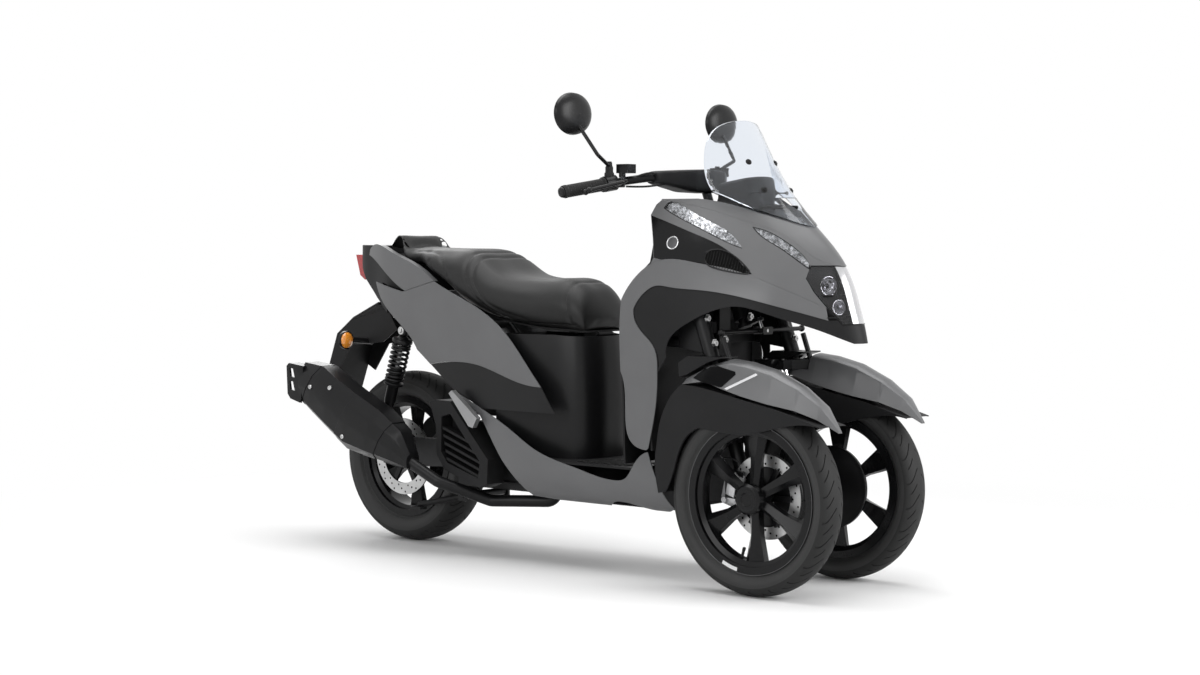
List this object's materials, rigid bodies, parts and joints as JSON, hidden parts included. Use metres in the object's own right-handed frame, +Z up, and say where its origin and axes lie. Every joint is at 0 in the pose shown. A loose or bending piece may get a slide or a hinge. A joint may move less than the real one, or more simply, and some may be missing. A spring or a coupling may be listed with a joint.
{
  "type": "leaning reverse trike",
  "caption": "Leaning step-through trike with a narrow-set steered front wheel pair on a tilting linkage and one rear wheel.",
  "frame": {"origin": "on the ground, at the middle of the overall length and width", "axes": "+X forward, +Y to the rider's left, +Z up"},
  "size_m": [1.995, 0.7918, 1.2938],
  "materials": {
    "body_paint": "satin grey paint",
    "black_plastic": "grained black plastic",
    "gloss_black": "polished black plastic",
    "wheel_paint": "black enamel",
    "tyre": "black rubber",
    "rubber": "grip rubber",
    "steel_black": "black paint on steel",
    "alloy": "cast alloy",
    "seat_cover": "black seat cover",
    "clear": "clear acrylic",
    "lamp": "lamp lens",
    "red_lens": "red lens",
    "amber_lens": "amber lens"
  },
  "bodies": {
    "chassis": {"main_frame": "steel_black", "nose_panel": "body_paint", "front_panels": "body_paint", "leg_shield": "body_paint", "arch_trim": "black_plastic", "vent_covers": "black_plastic", "front_lamps": "lamp", "headlight": "lamp", "windscreen": "clear", "dash": "black_plastic", "inner_leg_shield": "black_plastic", "front_wall": "black_plastic", "engine": "alloy", "transmission_case": "steel_black", "shocks": "steel_black", "exhaust": "steel_black", "side_covers": "body_paint", "lower_covers": "black_plastic", "grab_rails": "body_paint", "tail_cover": "black_plastic", "tail_lamp": "red_lens", "rear_fender": "black_plastic", "rear_indicators": "amber_lens", "centre_cover": "black_plastic", "storage_tub": "black_plastic", "footboard": "black_plastic", "floor_sides": "body_paint", "under_tray": "black_plastic", "radiator_guard": "black_plastic", "footpegs": "alloy"},
    "upper_arm": {"upper_arm": "steel_black"},
    "lower_arm": {"lower_arm": "steel_black"},
    "holder_right": {"holder_right": "steel_black"},
    "holder_left": {"holder_left": "steel_black"},
    "fork_right": {"fork_right": "steel_black", "knuckle_right": "steel_black", "fender_right": "body_paint", "fender_side_right": "black_plastic"},
    "fork_left": {"fork_left": "steel_black", "knuckle_left": "steel_black", "fender_left": "body_paint", "fender_side_left": "black_plastic"},
    "wheel_front_right": {"wheel_front_right": "wheel_paint", "tyre_front_right": "tyre"},
    "wheel_front_left": {"wheel_front_left": "wheel_paint", "tyre_front_left": "tyre"},
    "wheel_rear": {"wheel_rear": "wheel_paint", "tyre_rear": "tyre"},
    "handlebar": {"handlebar": "steel_black", "bar_cover": "black_plastic", "grips": "rubber", "controls": "black_plastic", "mirrors": "gloss_black"},
    "tie_swivel": {"tie_swivel": "steel_black"},
    "tie_rod": {"tie_rod": "steel_black"},
    "seat": {"seat_pad": "seat_cover", "seat_base": "black_plastic"},
    "centre_stand": {"centre_stand": "steel_black"},
    "side_stand": {"side_stand": "steel_black"}
  },
  "joints": [
    {"name": "lean", "type": "hinge", "parent": "chassis", "child": "upper_arm", "pos_m": [0.4615, 0, 0.704], "axis": [1, 0, 0], "range_deg": [-38, 38]},
    {"name": "lower_arm_pivot", "type": "hinge", "parent": "chassis", "child": "lower_arm", "pos_m": [0.4615, 0, 0.64], "axis": [1, 0, 0], "range_deg": [-38, 38]},
    {"name": "holder_right_pivot", "type": "hinge", "parent": "upper_arm", "child": "holder_right", "pos_m": [0.4615, -0.18, 0.704], "axis": [1, 0, 0], "range_deg": [-38, 38]},
    {"name": "kingpin_right", "type": "hinge", "parent": "holder_right", "child": "fork_right", "pos_m": [0.57392, -0.18, 0.65], "axis": [-0.342, 0, 0.9397], "range_deg": [-35, 35]},
    {"name": "wheel_front_right_spin", "type": "hinge", "parent": "fork_right", "child": "wheel_front_right", "pos_m": [0.7425, -0.1925, 0.25], "axis": [0, 1, 0], "continuous": true},
    {"name": "holder_left_pivot", "type": "hinge", "parent": "upper_arm", "child": "holder_left", "pos_m": [0.4615, 0.18, 0.704], "axis": [1, 0, 0], "range_deg": [-38, 38]},
    {"name": "kingpin_left", "type": "hinge", "parent": "holder_left", "child": "fork_left", "pos_m": [0.57392, 0.18, 0.65], "axis": [-0.342, 0, 0.9397], "range_deg": [-35, 35]},
    {"name": "wheel_front_left_spin", "type": "hinge", "parent": "fork_left", "child": "wheel_front_left", "pos_m": [0.7425, 0.1925, 0.25], "axis": [0, 1, 0], "continuous": true},
    {"name": "wheel_rear_spin", "type": "hinge", "parent": "chassis", "child": "wheel_rear", "pos_m": [-0.6675, 0, 0.256], "axis": [0, 1, 0], "continuous": true},
    {"name": "steer", "type": "hinge", "parent": "chassis", "child": "handlebar", "pos_m": [0.5266, 0, 0.78], "axis": [-0.342, 0, 0.9397], "range_deg": [-35, 35]},
    {"name": "tie_swivel_pivot", "type": "hinge", "parent": "handlebar", "child": "tie_swivel", "pos_m": [0.62054, 0, 0.6681], "axis": [-0.342, 0, 0.9397], "range_deg": [-35, 35]},
    {"name": "tie_rod_pivot", "type": "hinge", "parent": "tie_swivel", "child": "tie_rod", "pos_m": [0.62054, 0, 0.6681], "axis": [1, 0, 0], "range_deg": [-38, 38]},
    {"name": "seat_lid", "type": "hinge", "parent": "chassis", "child": "seat", "pos_m": [0.0745, 0, 0.644], "axis": [0, 1, 0], "range_deg": [0, 70]},
    {"name": "centre_stand_fold", "type": "hinge", "parent": "chassis", "child": "centre_stand", "pos_m": [-0.3875, 0, 0.16], "axis": [0, -1, 0], "range_deg": [0, 36]},
    {"name": "side_stand_fold", "type": "hinge", "parent": "chassis", "child": "side_stand", "pos_m": [-0.1075, 0.135, 0.19], "axis": [0, -0.89, -0.456], "range_deg": [0, 88]}
  ],
  "couplings": [
    {"joint": "lower_arm_pivot", "follows": "lean", "ratio": 1},
    {"joint": "holder_right_pivot", "follows": "lean", "ratio": -1},
    {"joint": "holder_left_pivot", "follows": "lean", "ratio": -1},
    {"joint": "tie_rod_pivot", "follows": "lean", "ratio": 1},
    {"joint": "kingpin_right", "follows": "steer", "ratio": 1},
    {"joint": "kingpin_left", "follows": "steer", "ratio": 1},
    {"joint": "tie_swivel_pivot", "follows": "steer", "ratio": -1}
  ]
}
